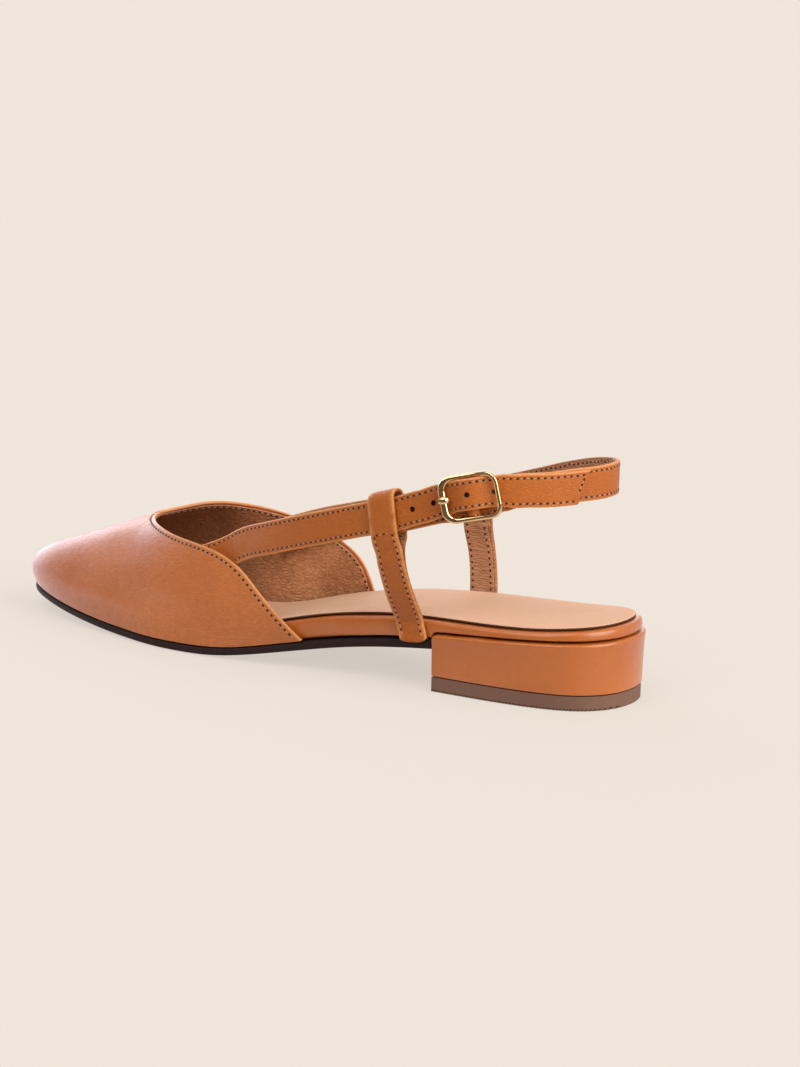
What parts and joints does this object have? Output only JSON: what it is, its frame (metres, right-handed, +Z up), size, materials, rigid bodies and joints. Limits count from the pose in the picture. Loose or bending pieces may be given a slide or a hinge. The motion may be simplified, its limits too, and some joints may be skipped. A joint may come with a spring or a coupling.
{
  "type": "slingback ballet flat",
  "caption": "Left slingback ballet flat in tan leather with a pointed almond toe, low block heel and a buckled strap held by two side straps.",
  "frame": {"origin": "on the floor under the middle of the shoe's length and width, buckle included", "axes": "+Z up, the toe points to -X and the heel to +X, the inner (medial) side of the foot to +Y and the outer side with the buckle to -Y"},
  "size_m": [0.2537, 0.0766, 0.0822],
  "materials": {
    "tan_leather": "tan calf leather, fine grain, satin",
    "insole_leather": "nude smooth leather sock, matt",
    "outsole_leather": "dark brown stained leather, satin edge",
    "heel_rubber": "taupe brown rubber, matt",
    "buckle_brass": "polished pale gold plating"
  },
  "bodies": {
    "root": {"outsole": "outsole_leather", "midsole": "tan_leather", "insole": "insole_leather", "heel_block": "tan_leather", "top_piece": "heel_rubber", "upper": "tan_leather", "billet_strap": "tan_leather", "heel_strap": "tan_leather", "side_strap_lateral": "tan_leather", "side_strap_medial": "tan_leather", "buckle_frame": "buckle_brass", "buckle_prong": "buckle_brass"}
  },
  "joints": []
}
